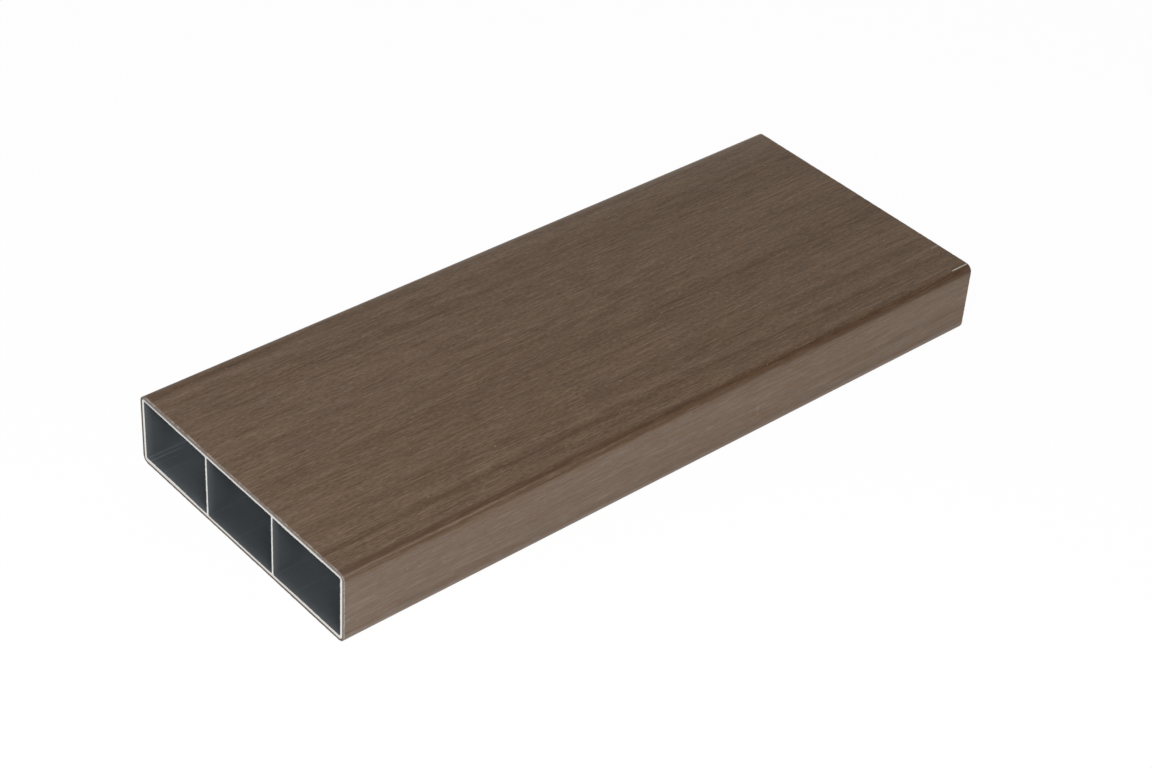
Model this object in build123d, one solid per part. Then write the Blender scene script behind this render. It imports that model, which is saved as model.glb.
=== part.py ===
from build123d import *
import os

# A cut length of flat louvre blade, lying on its broad face.
# An extruded aluminium profile with a row of hollow cells carries a wood-grain
# cap that is extruded on to its outside, and both are sawn off square together.
# Frame: +X along the blade, +Y across it, +Z up, origin at the middle of the
# underside. All sizes are in millimetres.

# Blade, measured over the cap
BLADE_LENGTH = 300.0
BLADE_WIDTH = 120.0
BLADE_HEIGHT = 30.0
CORNER_RADIUS = 3.0

# Wood-grain cap
CAP_THICKNESS = 1.0
CUT_EDGE_BREAK = 0.25  # the cap's outer arris, taken off after sawing

# Aluminium profile
WALL_THICKNESS = 1.2
WEB_THICKNESS = 1.0
CELL_COUNT = 3
CELL_CORNER_RADIUS = 0.8  # in the outer corners of the outer cells
WEB_ROOT_RADIUS = 0.5  # where a web runs into a wall

# What follows from them: the cap's bore is also the outside of the profile
PROFILE_WIDTH = BLADE_WIDTH - 2 * CAP_THICKNESS
PROFILE_HEIGHT = BLADE_HEIGHT - 2 * CAP_THICKNESS
PROFILE_CORNER_RADIUS = CORNER_RADIUS - CAP_THICKNESS
CORE_WIDTH = PROFILE_WIDTH - 2 * WALL_THICKNESS
CELL_HEIGHT = PROFILE_HEIGHT - 2 * WALL_THICKNESS
CELL_WIDTH = (CORE_WIDTH - (CELL_COUNT - 1) * WEB_THICKNESS) / CELL_COUNT
CELL_PITCH = CELL_WIDTH + WEB_THICKNESS

# Sections are drawn across the blade, about its centre line
SECTION_PLANE = Plane((0, 0, BLADE_HEIGHT / 2), x_dir=(0, 1, 0), z_dir=(1, 0, 0))


def profile_outline():
    """Outside of the aluminium, which the cap fits with no gap."""
    return RectangleRounded(PROFILE_WIDTH, PROFILE_HEIGHT, PROFILE_CORNER_RADIUS)


def cell_outline(index):
    """One hollow cell, with its corners rounded by what meets there."""
    low_radius = CELL_CORNER_RADIUS if index == 0 else WEB_ROOT_RADIUS
    high_radius = CELL_CORNER_RADIUS if index == CELL_COUNT - 1 else WEB_ROOT_RADIUS
    cell = Rectangle(CELL_WIDTH, CELL_HEIGHT)
    cell = fillet(cell.vertices().group_by(Axis.X)[0], low_radius)
    cell = fillet(cell.vertices().group_by(Axis.X)[-1], high_radius)
    centre = (index - (CELL_COUNT - 1) / 2) * CELL_PITCH
    return Pos(centre, 0) * cell


def extruded(section):
    """The section run along the whole blade, half to each side of the origin."""
    return extrude(SECTION_PLANE * section, BLADE_LENGTH / 2, both=True)


def aluminium_profile():
    section = profile_outline()
    for index in range(CELL_COUNT):
        section -= cell_outline(index)
    return extruded(section)


def wood_grain_cap():
    section = RectangleRounded(BLADE_WIDTH, BLADE_HEIGHT, CORNER_RADIUS)
    section -= profile_outline()
    cap = extruded(section)
    cut_faces = cap.faces().filter_by(Axis.X)
    cut_arrises = [edge for face in cut_faces for edge in face.outer_wire().edges()]
    return chamfer(cut_arrises, CUT_EDGE_BREAK)


PARTS = {
    "aluminium_profile": aluminium_profile,
    "wood_grain_cap": wood_grain_cap,
}

os.makedirs("parts", exist_ok=True)
for node_name, build in PARTS.items():
    export_step(build(), os.path.join("parts", node_name + ".step"))
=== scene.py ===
import math

import bpy
import numpy as np
from mathutils import Matrix, Vector
from mathutils.geometry import delaunay_2d_cdt

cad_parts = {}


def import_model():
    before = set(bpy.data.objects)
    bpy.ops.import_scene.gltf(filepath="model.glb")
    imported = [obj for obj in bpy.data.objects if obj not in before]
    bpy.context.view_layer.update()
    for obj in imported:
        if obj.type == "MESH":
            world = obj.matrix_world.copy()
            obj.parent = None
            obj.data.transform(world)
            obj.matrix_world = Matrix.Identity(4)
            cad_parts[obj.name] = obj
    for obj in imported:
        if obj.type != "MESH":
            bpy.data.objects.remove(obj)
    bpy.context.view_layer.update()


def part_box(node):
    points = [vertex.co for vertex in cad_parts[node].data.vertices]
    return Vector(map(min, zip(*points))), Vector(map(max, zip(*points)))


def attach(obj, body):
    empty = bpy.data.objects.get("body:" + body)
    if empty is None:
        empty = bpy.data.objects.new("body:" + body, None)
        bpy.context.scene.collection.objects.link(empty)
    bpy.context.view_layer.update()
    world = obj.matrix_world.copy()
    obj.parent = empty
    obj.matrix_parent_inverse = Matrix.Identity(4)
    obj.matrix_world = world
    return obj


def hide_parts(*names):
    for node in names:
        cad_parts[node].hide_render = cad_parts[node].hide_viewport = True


# A cut length of hollow louvre blade on a pale floor: a bright sawn aluminium
# profile with three dark cells, and round it a brown wood-grain cap.
# Everything is in metres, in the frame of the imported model.

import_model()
cap_lo, cap_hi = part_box("wood_grain_cap")
profile_lo, profile_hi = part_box("aluminium_profile")

MM = 0.001
QUARTER = math.pi / 2

# Sizes that follow from the frame
HALF_LENGTH = cap_hi.x
CENTRE_HEIGHT = (cap_lo.z + cap_hi.z) / 2
CAP_HALF = (cap_hi.y, (cap_hi.z - cap_lo.z) / 2)
PROFILE_HALF = (profile_hi.y, (profile_hi.z - profile_lo.z) / 2)
CAP_THICKNESS = CAP_HALF[0] - PROFILE_HALF[0]

# Sizes of the section that a box can't give
CORNER_RADIUS = 3.0 * MM
WALL = 1.2 * MM
WEB = 1.0 * MM
CELL_COUNT = 3
CELL_CORNER_RADIUS = 0.8 * MM
WEB_ROOT_RADIUS = 0.5 * MM
CUT_EDGE_BREAK = 0.25 * MM

CELL_WIDTH = (2 * (PROFILE_HALF[0] - WALL) - (CELL_COUNT - 1) * WEB) / CELL_COUNT
CELL_HALF = (CELL_WIDTH / 2, PROFILE_HALF[1] - WALL)
CELL_CENTRES = [(i - (CELL_COUNT - 1) / 2) * (CELL_WIDTH + WEB) for i in range(CELL_COUNT)]

# How fine the meshes are
CAP_SPACING = 0.55 * MM
CAP_ROW_SPACING = 3.0 * MM
CAP_FINE_SPACING = 0.5 * MM
CAP_FINE_LENGTH = 12.0 * MM
CAP_ARC_STEPS = 18
ARRIS_STEPS = 3
CELL_SPACING = 0.4 * MM
CELL_ARC_STEPS = 6
# Wider than any side, for an outline with points at its corners only
CORNERS_ONLY = 1.0
FILL_TOLERANCE = 1e-9

# Relief of the wood grain, pressed into the cap: width, length and depth of its streaks
GRAIN_RELIEF = [
    (7.0 * MM, 260 * MM, 0.020 * MM),
    (2.6 * MM, 110 * MM, 0.014 * MM),
    (1.2 * MM, 45 * MM, 0.008 * MM),
]
# Random tones of the grain: width and length of the streaks, and their strength
GRAIN_TONES = [
    (9.0 * MM, 300 * MM, 0.014),
    (3.4 * MM, 120 * MM, 0.020),
    (1.5 * MM, 45 * MM, 0.022),
]
# Tones that the photograph places, as soft bands along the blade. From the near end to the
# far end, at two or three even stops: distance round from the middle of the top towards -Y
# and half width, both in millimetres, and strength.
PLACED_TONES_AND_SHADING = [
    ((0.0, 14.0, 0.022), (0.0, 14.0, -0.012), (0.0, 14.0, 0.0)),
    # The next row darkens the +Y arris slightly at the near end and lightens it towards the far
    # end as a painted highlight
    ((-58.6, 1.4, -0.07), (-58.9, 1.2, 0.32)),
    ((-54.8, 1.8, -0.24), (-55.4, 1.5, -0.05)),
    ((-51.5, 1.6, 0.07), (-51.5, 1.6, 0.03)),
    ((-50.0, 6.0, 0.0), (-50.0, 6.0, -0.025), (-50.0, 6.0, 0.0)),
    ((-44.0, 2.4, -0.03), (-44.0, 2.4, -0.05)),
    ((-38.0, 2.4, -0.02), (-38.0, 2.4, -0.09)),
    ((-32.0, 3.0, 0.02), (-32.0, 3.0, -0.03)),
    ((9.3, 0.7, -0.03), (9.3, 0.7, -0.10)),
    ((9.5, 3.0, -0.02), (9.5, 3.0, -0.095)),
    ((16.0, 3.0, 0.0), (16.0, 3.0, -0.05)),
    ((26.0, 3.0, 0.02), (26.0, 3.0, 0.02)),
    ((36.5, 3.0, -0.04), (36.5, 3.0, -0.06)),
    ((43.0, 1.5, 0.06), (43.0, 1.5, 0.02)),
    ((47.0, 1.6, -0.235), (47.0, 1.6, -0.09)),
    ((52.0, 2.2, -0.07), (52.0, 2.2, -0.03)),
    ((56.9, 0.8, -0.13), (56.9, 0.8, -0.07)),
    # The next three rows shade the -Y arris: dark bands, partly the grain's own tone and partly
    # painted shade where the rounded edge reflects less light, and between them a thin painted
    # highlight, full at the near end and gone at the far end
    ((58.2, 1.35, -0.64), (58.65, 1.3, -0.42), (59.5, 1.55, -0.44)),
    ((59.4, 0.35, 0.17), (59.4, 0.35, 0.0)),
    ((60.45, 0.75, -0.20), (60.9, 0.8, -0.13)),
    ((62.9, 1.2, -0.01), (62.9, 1.2, -0.03)),
    ((66.0, 2.5, 0.01), (66.0, 2.5, 0.03)),
    ((73.0, 11.0, 0.032), (73.0, 11.0, 0.15)),
    ((76.7, 2.2, -0.02), (76.7, 2.2, -0.04)),
    ((84.2, 1.7, -0.11), (84.2, 1.5, -0.05)),
    ((86.0, 1.0, 0.06), (86.0, 1.0, 0.12)),
]
# How strong the painted sheen on the cap is at each distance round, at its near and far end: a
# pale wash that stands for light the satin plastic reflects, mostly on its sides and arrises
SHEEN_NEAR = [
    (-61.7, 0.3), (-60.2, 0.2), (-57.0, 0.1), (-50.0, 0.2), (55.0, 0.2), (57.0, 0.4),
    (57.5, 0.46), (58.5, 0.42), (58.9, 0.5), (59.4, 1.3), (59.8, 0.65), (60.4, 0.46),
    (60.9, 0.36), (61.5, 0.42), (63.0, 0.90), (84.8, 0.92), (85.8, 1.4), (88.0, 1.4),
    (90.0, 0.0), (204.8, 0.0), (206.8, 1.4), (209.0, 1.4), (210.0, 0.92), (230.0, 0.90),
    (233.2, 0.3),
]
SHEEN_FAR = [
    (-61.7, 2.2), (-58.5, 1.8), (-57.0, 0.9), (-53.0, 0.3), (-48.0, 0.1), (-30.0, 0.0),
    (59.0, 0.0), (60.0, 0.15), (61.5, 0.12), (63.0, 0.32), (84.8, 0.34), (85.8, 1.1),
    (88.0, 1.1), (90.0, 0.0), (204.8, 0.0), (206.8, 1.1), (209.0, 1.1), (210.0, 0.34),
    (230.0, 0.32), (233.2, 2.2),
]
# Extra painted sheen at the near cut, and how far along the blade it reaches
CUT_SHEEN = 0.14
CUT_SHEEN_REACH = 6.0 * MM
# How worn the cut edges of the cap are at each distance round
EDGE_WEAR = [
    (-61.7, 0.1), (-57.0, 0.72), (57.0, 0.72), (61.0, 0.76), (86.0, 0.76), (89.0, 0.1),
    (233.2, 0.1),
]
# How ragged those edges are: the width of the teeth, and the mean and swing of the break as
# shares of CUT_EDGE_BREAK, of which less is used at the +Y side than elsewhere
EDGE_TOOTH = 0.9 * MM
EDGE_RAGGED = (0.85, 0.55)
LEFT_SIDE_MM = (-59, 206)
LEFT_EDGE_SHARE = 0.3
OTHER_EDGE_SHARE = 0.9
# Rubs down to the pale layer, along the far end: place round as above, in millimetres,
# where it starts and ends along the blade, and strength
RUBS = [(57.55, 141.5, 149.7, 0.93), (42.1, 138.0, 145.4, 0.06), (42.1, 145.8, 149.7, 0.16)]
RUB_DEPTH = 0.05 * MM
RUB_LEAST = 0.6

# Ripples and raised lines that the extrusion die left along the walls of the cells
RIPPLE_WIDTH = 1.3 * MM
RIPPLE_DEPTH = 0.0015 * MM
DIE_LINE_HEIGHT = 0.07 * MM
FACING_DOWN = -0.99
# The raised lines along the floors of the cells: place across, and how high each is as a
# share of the full height, which also sets how strong its painted highlight is
DIE_LINES = [
    (55.8 * MM, 1.0), (52.8 * MM, 0.24), (47.9 * MM, 0.35), (3.3 * MM, 0.2), (-31.3 * MM, 0.2),
]
# Soft bands along the floor of the cell at +Y: place across, half width and strength
FLOOR_BANDS = [(44.5 * MM, 4.0 * MM, 0.055), (52.0 * MM, 2.8 * MM, -0.045)]
# The saw's burr at the mouths of the cells: how deep it reaches, where the long walls start,
# its height, its mean as a share of that, and the width and share of its coarse and fine teeth
MOUTH_BREAK = 0.12 * MM
WALL_START = 3 * MOUTH_BREAK
MOUTH_BURR = 0.11 * MM
MOUTH_MEAN = 0.35
MOUTH_TEETH = [(1.0 * MM, 0.8), (0.45 * MM, 0.45)]
# How far the saw's burr moves the mouths of the cells outwards at each place across: at
# their ceilings and at their floors, all in millimetres, and at each cell's -Y side
MOUTH_CEILING = [
    (-57.8, -0.10), (-45.0, -0.20), (-30.0, -0.24), (-19.9, -0.20), (-18.9, -0.05),
    (0.0, -0.10), (18.9, -0.07), (38.0, -0.03), (50.0, 0.12), (57.8, 0.20),
]
MOUTH_FLOOR = [
    (-57.8, -0.12), (-50.0, -0.16), (-38.0, -0.24), (-25.0, -0.08), (-18.9, 0.02),
    (0.0, 0.03), (18.9, 0.12), (19.9, 0.0), (28.0, -0.05), (38.0, -0.34), (57.8, -0.42),
]
MOUTH_SHIFT_SIDE = [0.12 * MM, 0.12 * MM, 0.06 * MM]
# Painted light and shade on the metal in each cell, from -Y to +Y: how light it is at large,
# on the wall at its +Y side, and in the shaded corners under that wall
CELL_PAINTED_LIGHT = [(1.05, 1.16, 0.62), (1.0, 1.13, 0.58), (1.27, 1.06, 0.88)]
SEED = 11
SHARP_ANGLE = math.radians(50)

# Places on the cap's map: along its outside, past its sawn ends and along its bore, and round
CAP_MAP_OUTSIDE = (0.03, 0.93)
CAP_MAP_NEAR_END = 0.01
CAP_MAP_FAR_END = 0.95
CAP_MAP_BORE = (0.955, 0.995)
CAP_MAP_ROUND = (0.005, 0.995)
# Places on the profile's map: of its outside, of the rows along each cell from the far mouth
# to the near one, of the first cell and the next ones round them, and of the sawn faces
PROFILE_MAP_LENGTH = (0.01, 0.99)
PROFILE_MAP_ROUND = (0.96, 0.99)
CELL_MAP_ROWS = (0.995, 0.985, 0.975, 0.025, 0.015, 0.005)
CELL_MAP_START = 0.50
CELL_MAP_PITCH = 0.15
CELL_MAP_SHARE = 0.98
SAWN_MAP_ACROSS = (0.01, 0.99)
SAWN_MAP_UP = {-1: (0.01, 0.23), 1: (0.25, 0.47)}

# Numbers of the profile's two materials
SAWN, DULL = 0, 1


# Outlines

def rounded_outline(half, radii, spacing, arc_steps):
    """Closed anticlockwise outline, across and up: (n, 2) points and (n, 2) outward normals.

    radii are those of the corners at +Y +Z, -Y +Z, -Y -Z and +Y -Z.
    """
    points, normals = [], []
    signs = np.array([(1, 1), (-1, 1), (-1, -1), (1, -1)])
    centres = signs * (np.array(half) - np.array(radii)[:, None])
    for corner, radius in enumerate(radii):
        following = (corner + 1) % 4
        turn = (corner + np.linspace(0, 1, arc_steps + 1)) * QUARTER
        outward = np.column_stack([np.cos(turn), np.sin(turn)])
        arc = centres[corner] + radius * outward
        end = centres[following] + radii[following] * outward[-1]
        count = max(1, round(float(np.linalg.norm(end - arc[-1])) / spacing))
        share = np.linspace(0, 1, count + 1)[1:-1, None]
        points += [arc, arc[-1] + share * (end - arc[-1])]
        normals += [outward, np.repeat(outward[-1:], len(share), axis=0)]
    return np.concatenate(points), np.concatenate(normals)


def distance_round(outline):
    """How far round a closed outline each point is, ending with the whole way round."""
    steps = np.linalg.norm(np.roll(outline, -1, axis=0) - outline, axis=1)
    return np.concatenate([[0], np.cumsum(steps)])


def eased(share):
    return share * share * (3 - 2 * share)


def read_off(table, places):
    """The values at some places in a table of (place, value) pairs."""
    return np.interp(places, *zip(*table))


def streaks(draw, around, along, width, length):
    """Smooth random values from -1 to 1, in streaks along the blade: (rows, columns).

    around is each column's distance round a closed outline, ending with the whole way,
    and along is each row's place along the blade.
    """
    lanes = max(3, round(around[-1] / width))
    lane = around[:-1] / around[-1] * lanes
    values = draw.uniform(-1, 1, (lanes, int(np.ptp(along) / length) + 4))
    shifts = draw.uniform(0, 1, lanes)
    start = np.floor(lane).astype(int)

    def lane_values(lanes_used):
        place = (along[:, None] - along.min()) / length + shifts[lanes_used]
        cell = np.floor(place).astype(int)
        share = eased(place - cell)
        return values[lanes_used, cell] * (1 - share) + values[lanes_used, cell + 1] * share

    share = eased(lane - start)
    return lane_values(start % lanes) * (1 - share) + lane_values((start + 1) % lanes) * share


def ragged_line(draw, around, width):
    """Smooth random values from -1 to 1 round a closed outline."""
    return streaks(draw, around, np.zeros(1), width, 1.0)[0]


def inside(point, outline):
    """True if a point lies within a closed outline."""
    after = np.roll(outline, -1, axis=0)
    spans = (outline[:, 1] > point[1]) != (after[:, 1] > point[1])
    rise = np.where(spans, after[:, 1] - outline[:, 1], 1.0)
    crossing = outline[:, 0] + (point[1] - outline[:, 1]) / rise * (after[:, 0] - outline[:, 0])
    return bool(np.sum(spans & (crossing > point[0])) % 2)


# Meshes

class Sheet:
    """Vertices, faces, map corners and material numbers of one piece as it is built."""

    def __init__(self):
        self.places, self.faces, self.corners, self.materials = [], [], [], []

    def add_row(self, x, across_up):
        """A closed row of vertices; x is one place along the blade or one for each vertex."""
        start = len(self.places)
        across_up = np.asarray(across_up)
        xs = np.broadcast_to(x, len(across_up))
        ups = across_up[:, 1] + CENTRE_HEIGHT
        self.places += list(zip(xs.tolist(), across_up[:, 0].tolist(), ups.tolist()))
        return np.arange(start, len(self.places))

    def join_rows(self, first, second, u, v, material=0):
        """Quads between two closed rows; u is their two map places and v the columns' ones."""
        count = len(first)
        for i in range(count):
            j = (i + 1) % count
            self.faces.append((first[i], first[j], second[j], second[i]))
            self.corners += [(u[0], v[i]), (u[0], v[i + 1]), (u[1], v[i + 1]), (u[1], v[i])]
            self.materials.append(material)

    def finish(self, name, slot, materials):
        mesh = bpy.data.meshes.new(name)
        mesh.from_pydata(self.places, [], [tuple(int(i) for i in face) for face in self.faces])
        mesh.polygons.foreach_set("material_index", self.materials)
        mesh.polygons.foreach_set("use_smooth", [True] * len(self.faces))
        layer = mesh.uv_layers.new(name="OFBake")
        layer.data.foreach_set("uv", np.array(self.corners, np.float32).ravel())
        mesh.update()
        mesh.set_sharp_from_angle(angle=SHARP_ANGLE)
        for material in materials:
            mesh.materials.append(material)
        piece = bpy.data.objects.new(name, mesh)
        bpy.context.scene.collection.objects.link(piece)
        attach(piece, "root")
        return piece


def add_values(piece, name, values):
    layer = piece.data.attributes.new(name, "FLOAT", "POINT")
    layer.data.foreach_set("value", np.asarray(values, np.float32).ravel())


def placed_tones_and_shading(round_mm, along):
    """The strengths of PLACED_TONES_AND_SHADING, added up: (rows, columns)."""
    share = (along + HALF_LENGTH) / (2 * HALF_LENGTH)
    total = np.zeros((len(along), len(round_mm)))
    for stops in PLACED_TONES_AND_SHADING:
        at = np.linspace(0, 1, len(stops))
        centre, width, strength = (np.interp(share, at, k)[:, None] for k in zip(*stops))
        total += strength * np.exp(-((round_mm - centre) / width) ** 2)
    return total


def rubs(draw, round_mm, along):
    """How far each vertex is rubbed bare, from 0 to 1: (rows, columns)."""
    total = np.zeros((len(along), len(round_mm)))
    for place, start, end, strength in RUBS:
        column = int(np.argmin(np.abs(round_mm - place)))
        rows = (along > start * MM) & (along < end * MM)
        total[rows, column] = strength * draw.uniform(RUB_LEAST, 1.0, int(rows.sum()))
    return total


def cap_rows(edge_break):
    """Places along the blade and depths of the cap's rows, from the near cut to the far one."""
    margin = 2 * CUT_EDGE_BREAK
    fine_start = HALF_LENGTH - CAP_FINE_LENGTH
    count = round((fine_start + HALF_LENGTH - margin) / CAP_ROW_SPACING)
    fine_count = round((CAP_FINE_LENGTH - margin) / CAP_FINE_SPACING)
    middle = np.concatenate([
        np.linspace(-HALF_LENGTH + margin, fine_start, count + 1),
        np.linspace(fine_start, HALF_LENGTH - margin, fine_count + 1)[1:],
    ])
    turns = np.linspace(QUARTER, 0, ARRIS_STEPS + 1)
    rounding = [(1 - math.sin(turn), 1 - math.cos(turn)) for turn in turns]
    near_break, far_break = edge_break
    rows = [(near_break * back - HALF_LENGTH, near_break * inset) for back, inset in rounding]
    rows += [(np.full_like(near_break, x), np.zeros_like(near_break)) for x in middle]
    rows += [(HALF_LENGTH - far_break * back, far_break * inset) for back, inset in rounding[::-1]]
    return rows


def ragged_breaks(draw, around, round_mm):
    """How far the cap's outer arris is broken at each place round, at its near and far cut."""
    on_left = (round_mm < LEFT_SIDE_MM[0]) | (round_mm > LEFT_SIDE_MM[1])
    share = np.where(on_left, LEFT_EDGE_SHARE, OTHER_EDGE_SHARE)
    mean, swing = EDGE_RAGGED
    breaks = []
    for _ in range(2):
        ragged = mean + swing * ragged_line(draw, around, EDGE_TOOTH)
        breaks.append(CUT_EDGE_BREAK * ragged * share)
    return breaks


def cap_painted_sheen(round_mm, along):
    """How strong the painted sheen is at each vertex: (rows, columns)."""
    near, far = read_off(SHEEN_NEAR, round_mm), read_off(SHEEN_FAR, round_mm)
    from_near = (along[:, None] + HALF_LENGTH) / (2 * HALF_LENGTH)
    at_cut = CUT_SHEEN * np.exp(-(along[:, None] + HALF_LENGTH) / CUT_SHEEN_REACH)
    return far + (near - far) * (1 - from_near) ** 2 + at_cut


def cap_piece(materials):
    """The cap: a closed tube with grain pressed into its outside and ragged broken edges."""
    draw = np.random.default_rng(SEED)
    outer, outward = rounded_outline(CAP_HALF, [CORNER_RADIUS] * 4, CAP_SPACING, CAP_ARC_STEPS)
    inner_radius = CORNER_RADIUS - CAP_THICKNESS
    inner, _ = rounded_outline(PROFILE_HALF, [inner_radius] * 4, CAP_SPACING, CAP_ARC_STEPS)
    around = distance_round(outer)
    top_middle = CORNER_RADIUS * QUARTER + CAP_HALF[0] - CORNER_RADIUS
    round_mm = (around[:-1] - top_middle) / MM
    rows = cap_rows(ragged_breaks(draw, around, round_mm))
    along = np.array([float(np.mean(x)) for x, _ in rows])

    relief = np.zeros((len(rows), len(outer)))
    for width, length, depth in GRAIN_RELIEF:
        relief += depth * (1 + streaks(draw, around, along, width, length)) / 2
    tone = placed_tones_and_shading(round_mm, along)
    for width, length, strength in GRAIN_TONES:
        tone += strength * streaks(draw, around, along, width, length)
    bare = rubs(draw, round_mm, along)
    relief += RUB_DEPTH * bare

    sheet = Sheet()
    numbers = []
    for (x, inset), pressed in zip(rows, relief):
        numbers.append(sheet.add_row(x, outer - outward * (inset + pressed)[:, None]))
    far_bore = sheet.add_row(HALF_LENGTH, inner)
    near_bore = sheet.add_row(-HALF_LENGTH, inner)
    u = list(np.interp(along, (-HALF_LENGTH, HALF_LENGTH), CAP_MAP_OUTSIDE))
    v = np.interp(around / around[-1], (0, 1), CAP_MAP_ROUND)
    for i in range(len(rows) - 1):
        sheet.join_rows(numbers[i], numbers[i + 1], u[i:i + 2], v)
    sheet.join_rows(numbers[-1], far_bore, (u[-1], CAP_MAP_FAR_END), v)
    sheet.join_rows(far_bore, near_bore, CAP_MAP_BORE, v)
    sheet.join_rows(near_bore, numbers[0], (CAP_MAP_NEAR_END, u[0]), v)

    piece = sheet.finish("wood_grain_cap_skin", "wood_grain_cap", materials)
    hidden = np.zeros(2 * len(inner))
    # The last of these is the painted sheen, a pale wash for reflected light
    for name, values in (("tone", tone), ("bare", bare), ("painted_sheen", cap_painted_sheen(round_mm, along))):
        add_values(piece, name, np.concatenate([values.ravel(), hidden]))
    add_values(piece, "wear", np.tile(read_off(EDGE_WEAR, round_mm), len(rows) + 2))
    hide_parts("wood_grain_cap")
    return piece


def fill_between(outer, cells):
    """Triangles of the sawn face, as numbers into outer followed by each of cells."""
    loops = [outer] + cells
    points = np.concatenate(loops)
    edges, start = [], 0
    for loop in loops:
        edges += [(start + i, start + (i + 1) % len(loop)) for i in range(len(loop))]
        start += len(loop)
    places = [Vector(point) for point in points.tolist()]
    made = delaunay_2d_cdt(places, edges, [], 0, FILL_TOLERANCE, True)
    _, _, faces, sources = made[:4]
    origin = [numbers[0] for numbers in sources]
    triangles = []
    for face in faces:
        corners = [origin[i] for i in face]
        centre = points[corners].mean(axis=0)
        if not any(inside(centre, cell) for cell in cells):
            triangles.append(corners)
    return triangles


def cell_radii(index):
    at_low_side = CELL_CORNER_RADIUS if index == 0 else WEB_ROOT_RADIUS
    at_high_side = CELL_CORNER_RADIUS if index == CELL_COUNT - 1 else WEB_ROOT_RADIUS
    return [at_high_side, at_low_side, at_low_side, at_high_side]


def die_line(outline, outward):
    """How strong the raised die lines are at each place round a cell, from 0 to 1."""
    line = np.zeros(len(outline))
    on_floor = np.flatnonzero(outward[:, 1] < FACING_DOWN)
    for place, strength in DIE_LINES:
        nearest = on_floor[np.argmin(np.abs(outline[on_floor, 0] - place))]
        if abs(outline[nearest, 0] - place) < CELL_SPACING:
            line[nearest] = strength
    return line


def cell_painted_light(index, outline, outward):
    """Painted light and shade at each place round a cell, as how light the metal is there; corner
    is 1 half way round one.
    """
    at_large, on_high_side, in_corner = CELL_PAINTED_LIGHT[index]
    high_side = np.clip(outward[:, 0], 0, 1)
    corner = 4 * (high_side * outward[:, 1]) ** 2
    level = at_large * (1 + (on_high_side - 1) * high_side ** 2) * (1 + (in_corner - 1) * corner)
    for place, width, strength in FLOOR_BANDS:
        band = np.exp(-((outline[:, 0] - place) / width) ** 2)
        level *= 1 + strength * band * np.clip(-outward[:, 1], 0, 1)
    return level


def mouth_burr(draw, index, around, outline, outward):
    """How far the saw's burr moves a cell's mouth outwards at each place round it."""
    burr = np.full(len(outline), MOUTH_MEAN)
    for width, share in MOUTH_TEETH:
        burr += share * ragged_line(draw, around, width)
    burr *= MOUTH_BURR
    place = outline[:, 0] / MM
    burr += read_off(MOUTH_CEILING, place) * MM * np.clip(outward[:, 1], 0, 1) ** 2
    burr += read_off(MOUTH_FLOOR, place) * MM * np.clip(-outward[:, 1], 0, 1) ** 2
    burr += MOUTH_SHIFT_SIDE[index] * np.clip(-outward[:, 0], 0, 1) ** 2
    return burr


def add_cell(sheet, draw, index, lines, levels):
    """The walls of one cell. Returns its near and far mouth: outline and vertex numbers.

    The strengths of the raised lines and of the painted light and shade on the metal at each
    new vertex are added to lines and levels.
    """
    outline, outward = rounded_outline(CELL_HALF, cell_radii(index), CELL_SPACING, CELL_ARC_STEPS)
    around = distance_round(outline)
    outline = outline + (CELL_CENTRES[index], 0)
    line = die_line(outline, outward)
    ripples = RIPPLE_DEPTH * ragged_line(draw, around, RIPPLE_WIDTH)
    wall = outline + outward * (ripples - DIE_LINE_HEIGHT * line)[:, None]
    mouths, rows = [], []
    for side in (-1, 1):
        burr = mouth_burr(draw, index, around, outline, outward)
        mouth = outline + outward * burr[:, None]
        end = sheet.add_row(side * HALF_LENGTH, mouth)
        behind = sheet.add_row(side * (HALF_LENGTH - MOUTH_BREAK), wall)
        deeper = sheet.add_row(side * (HALF_LENGTH - WALL_START), wall)
        lines += [np.zeros(len(line)), line, line]
        mouths.append((mouth, end))
        rows.append([end, behind, deeper])
    near_rows, far_rows = rows
    rows = far_rows + near_rows[::-1]
    levels.append(np.tile(cell_painted_light(index, outline, outward), len(rows)))
    v = CELL_MAP_START + CELL_MAP_PITCH * (index + CELL_MAP_SHARE * around / around[-1])
    for i in range(len(rows) - 1):
        sheet.join_rows(rows[i], rows[i + 1], CELL_MAP_ROWS[i:i + 2], v, DULL)
    return mouths


def add_sawn_face(sheet, side, loops):
    """The sawn metal at one end, between the first loop and the others inside it."""
    outlines = [outline for outline, _ in loops]
    points = np.concatenate(outlines)
    index_of = np.concatenate([numbers for _, numbers in loops])
    for corners in fill_between(outlines[0], outlines[1:]):
        a, b, c = points[corners]
        turning = (b[0] - a[0]) * (c[1] - a[1]) - (b[1] - a[1]) * (c[0] - a[0])
        if turning * side < 0:
            corners = corners[::-1]
        sheet.faces.append(tuple(index_of[corners]))
        sheet.materials.append(SAWN)
        for across, up in points[corners] / PROFILE_HALF:
            u = np.interp(across, (-1, 1), SAWN_MAP_ACROSS)
            v = np.interp(up, (-1, 1), SAWN_MAP_UP[side])
            sheet.corners.append((u, v))


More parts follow.
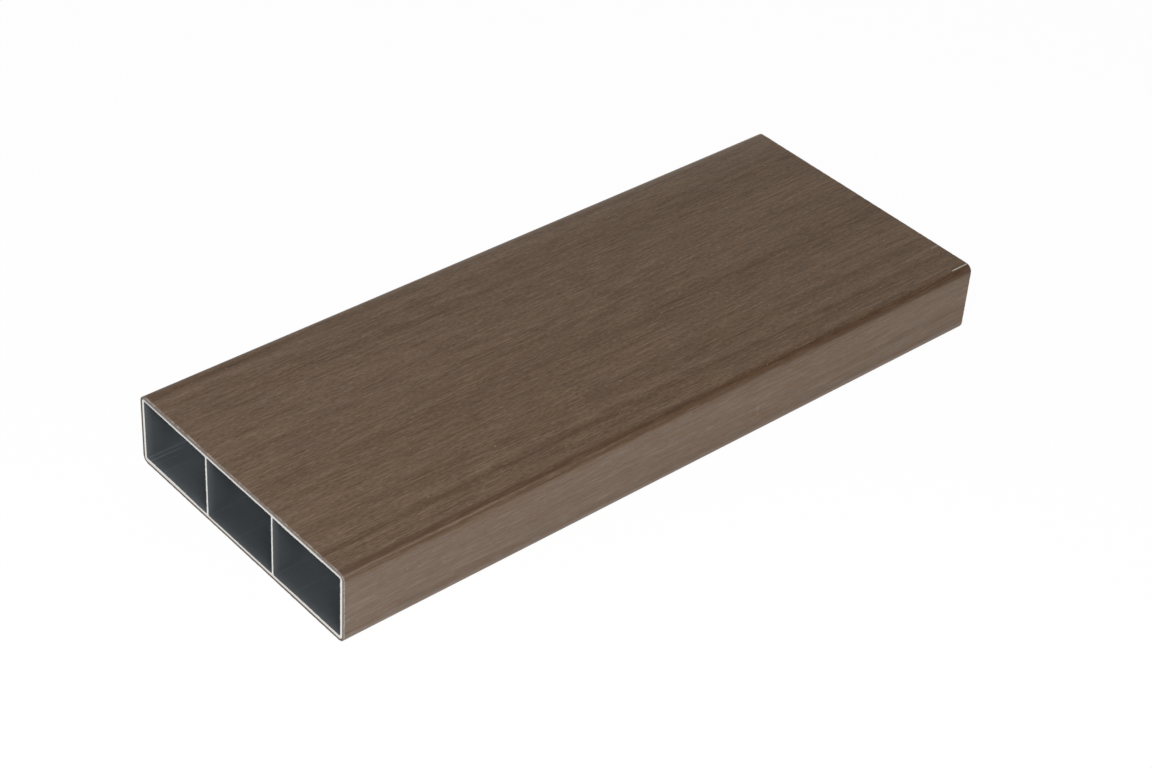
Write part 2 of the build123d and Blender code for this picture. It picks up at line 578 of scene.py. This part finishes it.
def profile_piece(materials):
    """The aluminium: sawn ends, and cells with fine die lines along them."""
    draw = np.random.default_rng(SEED + 1)
    radius = CORNER_RADIUS - CAP_THICKNESS
    outer, _ = rounded_outline(PROFILE_HALF, [radius] * 4, CORNERS_ONLY, CAP_ARC_STEPS)
    sheet = Sheet()
    near = sheet.add_row(-HALF_LENGTH, outer)
    far = sheet.add_row(HALF_LENGTH, outer)
    around = distance_round(outer)
    v = np.interp(around / around[-1], (0, 1), PROFILE_MAP_ROUND)
    sheet.join_rows(near, far, PROFILE_MAP_LENGTH, v, DULL)
    lines = [np.zeros(2 * len(outer))]
    levels = [np.ones(2 * len(outer))]
    near_loops, far_loops = [(outer, near)], [(outer, far)]
    for index in range(CELL_COUNT):
        near_mouth, far_mouth = add_cell(sheet, draw, index, lines, levels)
        near_loops.append(near_mouth)
        far_loops.append(far_mouth)
    add_sawn_face(sheet, -1, near_loops)
    add_sawn_face(sheet, 1, far_loops)

    piece = sheet.finish("aluminium_profile_sawn", "aluminium_profile", materials)
    add_values(piece, "die_line", np.concatenate(lines))
    add_values(piece, "level", np.concatenate(levels))
    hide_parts("aluminium_profile")
    return piece


# Materials

# Where, from the blade's side inwards, its flats take over from its sides
SIDE_TO_FLAT = (0.1 * MM, 1.5 * MM)
# How far each lane's streaks may be shifted, in streak lengths, and the part of its width
# over which a lane turns into the next
LANE_SHIFT = 300.0
LANE_EASING = (0.15, 0.85)


class Graph:
    """A material and short calls that add nodes to it and return their output sockets."""

    def __init__(self, name):
        self.material = bpy.data.materials.new(name)
        self.material.use_nodes = True
        self.nodes = self.material.node_tree.nodes
        self.shader = self.nodes["Principled BSDF"]
        self.place = self.add("TexCoord").outputs["Object"]
        split = self.add("SeparateXYZ", {0: self.place})
        self.along = split.outputs["X"]
        self.from_middle = self.maths("ABSOLUTE", self.along)
        self.across = split.outputs["Y"]
        self.up = split.outputs["Z"]
        self.from_side = self.maths("SUBTRACT", CAP_HALF[0], self.maths("ABSOLUTE", self.across))

    def feed(self, socket, value):
        if isinstance(value, bpy.types.NodeSocket):
            self.material.node_tree.links.new(value, socket)
        else:
            socket.default_value = value

    def add(self, kind, inputs=(), **settings):
        """A node of that kind; inputs maps socket names or numbers to values or links."""
        node = self.nodes.new("ShaderNode" + kind)
        for name, value in settings.items():
            setattr(node, name, value)
        for name, value in dict(inputs).items():
            self.feed(node.inputs[name], value)
        return node

    def maths(self, operation, a, b=0.0, c=0.0, clamp=False):
        inputs = {0: a, 1: b, 2: c}
        return self.add("Math", inputs, operation=operation, use_clamp=clamp).outputs[0]

    def total(self, *terms):
        result = terms[0]
        for term in terms[1:]:
            result = self.maths("ADD", result, term)
        return result

    def attribute(self, name):
        return self.add("Attribute", attribute_name=name).outputs["Fac"]

    def stretched(self, length, width, shift=0.0):
        """The place on the object, counted in cells that are long in X and narrow otherwise."""
        scale = (1 / length, 1 / width, 1 / width)
        inputs = {"Vector": self.place, "Location": (shift, shift, shift), "Scale": scale}
        return self.add("Mapping", inputs).outputs[0]

    def noise(self, place, detail=2.0, roughness=0.5, distortion=0.0):
        inputs = {
            "Vector": place, "Scale": 1.0, "Detail": detail,
            "Roughness": roughness, "Distortion": distortion,
        }
        return self.add("TexNoise", inputs).outputs["Fac"]

    def lanes(self, length, width, shift=0.0, detail=1.0):
        """Straight random streaks along the blade, from 0 to 1, side by side round it."""
        down = self.maths("SUBTRACT", CENTRE_HEIGHT + CAP_HALF[1], self.up)
        down = self.maths("MULTIPLY", down, self.maths("SIGN", self.across))
        lane = self.maths("DIVIDE", self.maths("ADD", self.across, down), width)
        lane = self.maths("ADD", lane, shift)
        start = self.maths("FLOOR", lane)
        ends = []
        for number in (start, self.maths("ADD", start, 1.0)):
            chance = self.add("TexWhiteNoise", {"W": number}, noise_dimensions="1D").outputs[0]
            along = self.maths("DIVIDE", self.along, length)
            along = self.maths("MULTIPLY_ADD", chance, LANE_SHIFT, along)
            inputs = {"W": along, "Scale": 1.0, "Detail": detail}
            ends.append(self.add("TexNoise", inputs, noise_dimensions="1D").outputs["Fac"])
        share = self.between(self.maths("SUBTRACT", lane, start), *LANE_EASING)
        return self.blend(share, *ends)

    def swing(self, value, strength):
        """A noise value turned into plus or minus about half of strength."""
        return self.maths("MULTIPLY_ADD", value, strength, -strength / 2)

    def between(self, value, low, high, to_low=0.0, to_high=1.0):
        """value eased from to_low at low to to_high at high, and held outside."""
        inputs = {0: value, 1: low, 2: high, 3: to_low, 4: to_high}
        return self.add("MapRange", inputs, interpolation_type="SMOOTHSTEP").outputs[0]

    def blend(self, share, a, b):
        """The value that lies share of the way from a to b."""
        return self.maths("MULTIPLY_ADD", share, self.maths("SUBTRACT", b, a), a)

    def by_face(self, on_sides, on_flats):
        """One value on the blade's sides, eased to another on its top and underside."""
        return self.between(self.from_side, *SIDE_TO_FLAT, on_sides, on_flats)

    def mix(self, share, a, b):
        inputs = {"Factor": share, 6: a, 7: b}
        return self.add("Mix", inputs, data_type="RGBA").outputs[2]

    def ramp(self, value, stops):
        node = self.add("ValToRGB", {"Fac": value})
        elements = node.color_ramp.elements
        while len(elements) < len(stops):
            elements.new(1.0)
        for element, (position, colour) in zip(elements, stops):
            element.position = position
            element.color = (*colour, 1.0)
        return node.outputs["Color"]

    def bump(self, height, distance, strength=1.0):
        inputs = {"Height": height, "Distance": distance, "Strength": strength}
        return self.add("Bump", inputs).outputs[0]

    def finish(self, **inputs):
        for name, value in inputs.items():
            self.feed(self.shader.inputs[name.replace("_", " ")], value)
        return self.material


# Colours of the cap, from the deepest grain to the lightest fleck
GRAIN_COLOURS = [
    (0.00, (0.045, 0.018, 0.004)),
    (0.25, (0.063, 0.032, 0.0125)),
    (0.50, (0.099, 0.060, 0.0335)),
    (0.75, (0.146, 0.092, 0.0595)),
    (1.00, (0.235, 0.161, 0.117)),
]
# Pale colour of the painted sheen, which stands for light that the satin plastic reflects
PAINTED_SHEEN = (0.50, 0.435, 0.39, 1.0)
GREY_STREAK = (0.50, 0.445, 0.40, 1.0)
TAN_STREAK = (0.52, 0.39, 0.30, 1.0)
CUT_PLASTIC = (0.060, 0.032, 0.015, 1.0)
WORN_CUT_PLASTIC = (0.175, 0.144, 0.121, 1.0)
BRUISED_PLASTIC = (0.42, 0.375, 0.34, 1.0)
BRUISED_SIDE = (0.38, 0.37, 0.36, 1.0)
BARE_LAYER = (0.80, 0.78, 0.75, 1.0)

# Streaks of the printed grain: length, width, a shift that sets each kind apart, and detail
FINE_STREAKS = (14 * MM, 0.27 * MM, 0.0, 2.0)
FINE_SIDE_STREAKS = (70 * MM, 0.30 * MM, 43.0, 2.0)
BROAD_STREAKS = (110 * MM, 1.0 * MM, 9.1, 1.5)
HUE_STREAKS = (35 * MM, 0.7 * MM, 31.0, 2.0)
LIGHT_LINES = (15 * MM, 0.31 * MM, 2.7, 1.5)
DARK_LINES = (22 * MM, 0.45 * MM, 17.3, 1.5)
LINE_LIMITS = (0.52, 0.74)
# Its dots and its mottle: length, width and shift
DOTS = (1.9 * MM, 0.25 * MM, 5.3)
MOTTLE = (14 * MM, 3.5 * MM, 3.9)
# How far each of them swings the shade, about this middle one, and the whole pattern's share;
# a pair is for the sides and the flats
MIDDLE_SHADE = 0.481
FINE_SWING = 0.39
BROAD_SWING = 0.22
MOTTLE_SWING = 0.13
DARK_LINE_SWING = -0.13
DOT_SWING = (0.43, 0.61)
PATTERN_SHARE = (0.77, 1.0)
# The share of the sheen's pale colour per unit of painted sheen, and the light lines' share
# without it and per unit of it
SHEEN_SHARE = 0.095
LIGHT_LINE_SHARE = 0.070
LIGHT_LINE_SHEEN = 0.015
# How red, green and blue rise as the grain gets warmer, and how warm its light streaks are,
# on the flats less so where it has painted sheen
WARM_TINT = (0.150, 0.0, -0.42)
TOP_WARMTH = 2.0
TOP_WARMTH_SHEEN = -3.6
SIDE_WARMTH = -4.5
# How far the warmth drifts from streak to streak, and the sides' own, without painted sheen and
# per unit of it
HUE_SWING = 0.55
SIDE_HUE = 0.22
SIDE_HUE_SHEEN = -0.28
# Pale flecks: distance apart, the radius where one starts and ends to fade, as a share of
# that, and strength
FLECK_PITCH = 5.0 * MM
FLECK_EDGE = (0.030, 0.045)
FLECK_SHARE = 0.5
# Patches of bruise on the flats and on the sides: length, width and shift, the detail, and
# the noise limits with the shares at them
FLAT_PATCHES = (2.0 * MM, 1.9 * MM, 1.7), 3.0, (0.36, 0.64, 0.22, 0.86)
SIDE_PATCHES = (0.7 * MM, 0.55 * MM, 4.1), 1.0, (0.38, 0.62, 0.08, 1.0)
# Two places across with how far from the cut they reach there, the sides' reach against the
# flats', and the part of the reach that is fully bruised, on the sides and on the flats
BRUISE_REACH = (5 * MM, 35 * MM, 0.44 * MM, 0.86 * MM)
SIDE_BRUISE_REACH = 1.10
BRUISE_FULL = (0.48, 0.2)
# How near the sawn end the colour of the cut plastic starts
CUT_DEPTH = 0.02 * MM

# Pale smudges on the cap: where, how far they reach each way, and strength, which is full
# within SMUDGE_CORE of the reach
SMUDGES = [
    ((37.8 * MM, -60.0 * MM, 11.5 * MM), (1.1 * MM, 2.0 * MM, 3.4 * MM), 0.07),
    ((37.9 * MM, -60.0 * MM, 9.3 * MM), (0.7 * MM, 1.0 * MM, 0.7 * MM), 0.10),
    ((120.2 * MM, -43.2 * MM, 30.0 * MM), (0.5 * MM, 0.5 * MM, 0.5 * MM), 0.22),
]
SMUDGE_CORE = 0.2


def grain_pattern(g, fine, dots, broad):
    """How the streaks, dots, dark lines and mottle swing the shade, up and down from 0."""
    dark_lines = g.between(g.lanes(*DARK_LINES), *LINE_LIMITS)
    mottle = g.noise(g.stretched(*MOTTLE), 2.0)
    share = g.by_face(*PATTERN_SHARE)
    thin = g.total(
        g.swing(fine, FINE_SWING),
        g.maths("MULTIPLY", g.maths("SUBTRACT", dots, 0.5), g.by_face(*DOT_SWING)),
        g.maths("MULTIPLY", dark_lines, DARK_LINE_SWING),
    )
    mottled = g.maths("MULTIPLY", g.swing(mottle, MOTTLE_SWING), share)
    return g.maths("MULTIPLY", g.total(thin, g.total(g.swing(broad, BROAD_SWING), mottled)), share)


def tinted(g, colour, pattern, painted_sheen):
    """colour with the light streaks warmer on the flats and greyer on the blade's sides."""
    on_flats = g.maths("MULTIPLY_ADD", painted_sheen, TOP_WARMTH_SHEEN, 1.0, clamp=True)
    warmth = g.by_face(SIDE_WARMTH, g.maths("MULTIPLY", on_flats, TOP_WARMTH))
    drift = g.swing(g.lanes(*HUE_STREAKS), HUE_SWING)
    side_hue = g.maths("MULTIPLY_ADD", painted_sheen, SIDE_HUE_SHEEN, SIDE_HUE)
    base = g.maths("ADD", drift, g.by_face(side_hue, 0.0))
    hue = g.maths("MULTIPLY_ADD", pattern, warmth, base)
    part = g.add("VectorMath", {0: colour, "Scale": hue}, operation="SCALE").outputs[0]
    inputs = {0: part, 1: WARM_TINT, 2: colour}
    return g.add("VectorMath", inputs, operation="MULTIPLY_ADD").outputs[0]


def light_lined(g, colour, painted_sheen):
    """colour with thin light lines, grey on the blade's sides and tan on its flats."""
    lines = g.between(g.lanes(*LIGHT_LINES), *LINE_LIMITS)
    strength = g.maths("MULTIPLY_ADD", painted_sheen, LIGHT_LINE_SHEEN, LIGHT_LINE_SHARE)
    pale = g.mix(g.by_face(0.0, 1.0), GREY_STREAK, TAN_STREAK)
    return g.mix(g.maths("MULTIPLY", lines, strength), colour, pale)


def flecked(g, colour):
    fleck = g.add("TexVoronoi", {"Vector": g.place, "Scale": 1 / FLECK_PITCH})
    share = g.between(fleck.outputs["Distance"], *FLECK_EDGE, FLECK_SHARE, 0.0)
    return g.mix(share, colour, BRUISED_PLASTIC)


def smudged(g, colour):
    for centre, reach, strength in SMUDGES:
        away = g.add("VectorMath", {0: g.place, 1: centre}, operation="SUBTRACT").outputs[0]
        away = g.add("VectorMath", {0: away, 1: reach}, operation="DIVIDE").outputs[0]
        away = g.add("VectorMath", {0: away}, operation="LENGTH").outputs["Value"]
        share = g.between(away, SMUDGE_CORE, 1.0, strength, 0.0)
        colour = g.mix(share, colour, BRUISED_PLASTIC)
    return colour


def bruised(g, colour, wear):
    """colour with the cap's cut edges bruised pale in patches."""
    on_flats, on_sides = (
        g.between(g.noise(g.stretched(*cells), detail), *limits)
        for cells, detail, limits in (FLAT_PATCHES, SIDE_PATCHES)
    )
    flat = g.by_face(0.0, 1.0)
    patches = g.blend(flat, on_sides, on_flats)
    reach = g.between(g.across, *BRUISE_REACH)
    reach = g.maths("MULTIPLY", reach, g.by_face(SIDE_BRUISE_REACH, 1.0))
    from_cut = g.maths("SUBTRACT", HALF_LENGTH, g.from_middle)
    away = g.maths("DIVIDE", from_cut, reach)
    edge = g.between(away, g.by_face(*BRUISE_FULL), 1.0, 1.0, 0.0)
    share = g.maths("MULTIPLY", g.maths("MULTIPLY", edge, patches), wear)
    return g.mix(share, colour, g.mix(flat, BRUISED_SIDE, BRUISED_PLASTIC))


def wood_grain():
    """Printed grain on satin plastic: streaks, dots, flecks, bruised cut edges, and a painted
    sheen.
    """
    g = Graph("wood_grain_cap")
    painted_sheen = g.attribute("painted_sheen")
    wear = g.attribute("wear")
    fine = g.blend(g.by_face(0.0, 1.0), g.lanes(*FINE_SIDE_STREAKS), g.lanes(*FINE_STREAKS))
    dots = g.noise(g.stretched(*DOTS), 0.0)
    broad = g.lanes(*BROAD_STREAKS)
    pattern = grain_pattern(g, fine, dots, broad)
    shade = g.total(g.attribute("tone"), pattern)
    shade = g.maths("ADD", shade, MIDDLE_SHADE, clamp=True)

    colour = tinted(g, g.ramp(shade, GRAIN_COLOURS), pattern, painted_sheen)
    # Painted sheen: the pale wash that stands for light reflected off the cap
    colour = g.mix(g.maths("MULTIPLY", painted_sheen, SHEEN_SHARE), colour, PAINTED_SHEEN)
    colour = light_lined(g, colour, painted_sheen)
    colour = smudged(g, flecked(g, colour))
    colour = g.mix(g.attribute("bare"), colour, BARE_LAYER)
    colour = bruised(g, colour, wear)
    cut = g.maths("GREATER_THAN", g.from_middle, HALF_LENGTH - CUT_DEPTH)
    colour = g.mix(cut, colour, g.mix(wear, CUT_PLASTIC, WORN_CUT_PLASTIC))

    height = g.total(fine, dots, g.maths("MULTIPLY", broad, 2.0))
    return g.finish(**{
        "Base_Color": colour,
        "Roughness": g.maths("MULTIPLY_ADD", broad, -0.2, 0.55),
        "Specular_IOR_Level": 0.25,
        "Normal": g.bump(height, 0.008 * MM),
    })


SAWN_COLOURS = [(0.3, (0.71, 0.702, 0.668)), (0.7, (0.81, 0.802, 0.768))]
SAW_MARK_WIDTH = 0.25 * MM
# Colour of the dark ragged line along the metal's outermost edge: plastic smeared there by the
# saw, and painted shadow of the joint with the cap
SMEAR_AND_JOINT_SHADE = (0.13, 0.10, 0.08, 1.0)
# How far in from the profile's outside that dark line starts and is full, at its top
# and underside and at its +Y side, and how much further at the top and less far underneath
SMEAR_AND_SHADE_REACH = (0.38 * MM, 0.17 * MM)
SIDE_SMEAR_AND_SHADE_REACH = (0.28 * MM, 0.08 * MM)
SMEAR_AND_SHADE_TO_TOP = 0.09 * MM
# How ragged it is: width, and the noise limits with the shares at them
SMEAR_AND_SHADE_WIDTH = 0.6 * MM
SMEAR_AND_SHADE_LIMITS = (0.30, 0.60, 0.5, 1.0)
# A faint smear over the top and bottom walls: where it starts and is full, and its share
WALL_SMEAR = (1.4 * MM, 1.1 * MM)
WALL_SMEAR_SHARE = 0.17


def sawn_aluminium():
    """Bright saw-cut metal, with a dark ragged line at its outermost edge: plastic dragged over
    it, and painted shadow of its joint with the cap.
    """
    g = Graph("sawn_aluminium")
    marks = g.noise(g.stretched(1.0, SAW_MARK_WIDTH), 3.0)
    from_centre = g.maths("ABSOLUTE", g.maths("SUBTRACT", g.up, CENTRE_HEIGHT - SMEAR_AND_SHADE_TO_TOP))
    inwards = g.maths("SUBTRACT", PROFILE_HALF[1], from_centre)
    from_left = g.maths("SUBTRACT", PROFILE_HALF[0], g.across)
    edge = g.maths("MAXIMUM", g.between(inwards, *SMEAR_AND_SHADE_REACH), g.between(from_left, *SIDE_SMEAR_AND_SHADE_REACH))
    ragged = g.noise(g.stretched(1.0, SMEAR_AND_SHADE_WIDTH, 6.1), 2.0)
    edge_smear_and_shade = g.maths("MULTIPLY", edge, g.between(ragged, *SMEAR_AND_SHADE_LIMITS))
    wall = g.maths("MULTIPLY", g.between(inwards, *WALL_SMEAR), WALL_SMEAR_SHARE)
    metal = g.mix(wall, g.ramp(marks, SAWN_COLOURS), SMEAR_AND_JOINT_SHADE)
    return g.finish(**{
        "Base_Color": g.mix(edge_smear_and_shade, metal, SMEAR_AND_JOINT_SHADE),
        "Metallic": 0.6,
        "Roughness": 0.35,
        "Normal": g.bump(marks, 0.02 * MM),
    })


# Colours of the cells at depths from the cut, in millimetres: the dull metal with painted light
# and shade, lighter at the mouth, darkest 3 to 8 mm in and lighter deeper in
CELL_COLOURS_AND_PAINTED_LIGHT = [
    (0.0, (0.072, 0.077, 0.081)),
    (1.5, (0.0525, 0.0580, 0.0625)),
    (3.2, (0.0390, 0.0445, 0.0487)),
    (7.5, (0.0402, 0.0465, 0.0508)),
    (11.0, (0.053, 0.061, 0.0675)),
    (16.0, (0.093, 0.106, 0.116)),
    (24.0, (0.135, 0.150, 0.160)),
]
# Painted highlight along the raised lines, where they catch the light: its colour and full share
DIE_LINE_HIGHLIGHT = (0.16, 0.17, 0.18, 1.0)
DIE_LINE_HIGHLIGHT_SHARE = 0.58
# Faint lines along the cells: length and width, and the noise limits with the levels at them
DRAWN_LINES = (90 * MM, 0.5 * MM)
DRAWN_LEVELS = (0.3, 0.7, 0.96, 1.04)


def dull_aluminium():
    """Dull metal inside the cells, with painted light and shade: darker a little way in and
    lighter deep down.
    """
    g = Graph("dull_aluminium")
    reach = CELL_COLOURS_AND_PAINTED_LIGHT[-1][0]
    depth = g.add("MapRange", {
        0: g.from_middle, 1: HALF_LENGTH, 2: HALF_LENGTH - reach * MM, 3: 0.0, 4: 1.0,
    }).outputs[0]
    colour = g.ramp(depth, [(place / reach, level) for place, level in CELL_COLOURS_AND_PAINTED_LIGHT])
    lines = g.noise(g.stretched(*DRAWN_LINES), 3.0)
    # The painted light and shade round each cell, with faint lines along it
    level = g.maths("MULTIPLY", g.attribute("level"), g.between(lines, *DRAWN_LEVELS))
    colour = g.add("VectorMath", {0: colour, "Scale": level}, operation="SCALE").outputs[0]
    # The raised lines lightened as a painted highlight
    raised = g.maths("MULTIPLY", g.attribute("die_line"), DIE_LINE_HIGHLIGHT_SHARE)
    colour = g.mix(raised, colour, DIE_LINE_HIGHLIGHT)
    return g.finish(**{
        "Base_Color": colour,
        "Metallic": 0.0,
        "Roughness": 0.6,
        "Normal": g.bump(lines, 0.001 * MM),
    })


# Stage

CAMERA_PLACE = Vector((-0.52360, -0.56503, 0.59000))
CAMERA_AIM = Vector((-0.009227, -0.011892, 0.015))
CAMERA_ROLL = math.radians(4.089)
CAMERA_LENS = 80.849
CAMERA_SENSOR = 36.0
CAMERA_CLIP = (0.01, 50.0)


def camera():
    data = bpy.data.cameras.new("camera")
    data.lens = CAMERA_LENS
    data.sensor_width = CAMERA_SENSOR
    data.clip_start, data.clip_end = CAMERA_CLIP
    holder = bpy.data.objects.new("camera", data)
    bpy.context.scene.collection.objects.link(holder)
    turn = (CAMERA_AIM - CAMERA_PLACE).to_track_quat("-Z", "Y").to_matrix().to_4x4()
    holder.matrix_world = (
        Matrix.Translation(CAMERA_PLACE) @ turn @ Matrix.Rotation(CAMERA_ROLL, 4, "Z")
    )
    bpy.context.scene.camera = holder


def lamp(name, azimuth, elevation, distance, size, power):
    """A square soft lamp that faces the object; azimuth is from +X towards +Y, in degrees."""
    a, e = math.radians(azimuth), math.radians(elevation)
    way = Vector((math.cos(a) * math.cos(e), math.sin(a) * math.cos(e), math.sin(e)))
    data = bpy.data.lights.new(name, "AREA")
    data.shape = "SQUARE"
    data.size = size
    data.energy = power
    holder = bpy.data.objects.new(name, data)
    holder.location = way * distance
    holder.rotation_euler = way.to_track_quat("Z", "Y").to_euler()
    bpy.context.scene.collection.objects.link(holder)


def white_where_seen(tree, lit, white, output, share):
    """Mixes white into lit for the camera, gloss and glass, and leaves other light alone."""
    path = tree.nodes.new("ShaderNodeLightPath")
    seen = path.outputs["Is Camera Ray"]
    for kind in ("Is Glossy Ray", "Is Transmission Ray"):
        either = tree.nodes.new("ShaderNodeMath")
        either.operation = "MAXIMUM"
        tree.links.new(seen, either.inputs[0])
        tree.links.new(path.outputs[kind], either.inputs[1])
        seen = either.outputs[0]
    part = tree.nodes.new("ShaderNodeMath")
    part.operation = "MULTIPLY"
    tree.links.new(seen, part.inputs[0])
    part.inputs[1].default_value = share
    mixer = tree.nodes.new("ShaderNodeMixShader")
    tree.links.new(part.outputs[0], mixer.inputs[0])
    tree.links.new(lit, mixer.inputs[1])
    tree.links.new(white, mixer.inputs[2])
    tree.links.new(mixer.outputs[0], output)


FLOOR_REACH = 4.0
FLOOR_COLOUR = (0.90, 0.90, 0.90, 1.0)
FLOOR_WHITE_SHARE = 0.96


def floor():
    r = FLOOR_REACH
    mesh = bpy.data.meshes.new("floor")
    mesh.from_pydata([(-r, -r, 0), (r, -r, 0), (r, r, 0), (-r, r, 0)], [], [(0, 1, 2, 3)])
    ground = bpy.data.objects.new("floor", mesh)
    bpy.context.scene.collection.objects.link(ground)
    material = bpy.data.materials.new("floor")
    material.use_nodes = True
    tree = material.node_tree
    shader = tree.nodes["Principled BSDF"]
    shader.inputs["Base Color"].default_value = FLOOR_COLOUR
    shader.inputs["Roughness"].default_value = 0.9
    shader.inputs["Specular IOR Level"].default_value = 0.0
    glow = tree.nodes.new("ShaderNodeEmission")
    output = tree.nodes["Material Output"].inputs["Surface"]
    white_where_seen(tree, shader.outputs[0], glow.outputs[0], output, FLOOR_WHITE_SHARE)
    mesh.materials.append(material)


WORLD_STRENGTH = 0.41


def world():
    made = bpy.data.worlds.new("studio")
    bpy.context.scene.world = made
    made.use_nodes = True
    tree = made.node_tree
    lit = tree.nodes["Background"]
    lit.inputs["Color"].default_value = (1.0, 1.0, 1.0, 1.0)
    lit.inputs["Strength"].default_value = WORLD_STRENGTH
    white = tree.nodes.new("ShaderNodeBackground")
    output = tree.nodes["World Output"].inputs["Surface"]
    white_where_seen(tree, lit.outputs[0], white.outputs[0], output, 1.0)


camera()
floor()
world()
lamp("key", azimuth=226, elevation=42, distance=0.95, size=0.45, power=8.0)

cap_piece([wood_grain()])
profile_piece([sawn_aluminium(), dull_aluminium()])

bpy.context.scene.view_settings.view_transform = "Standard"
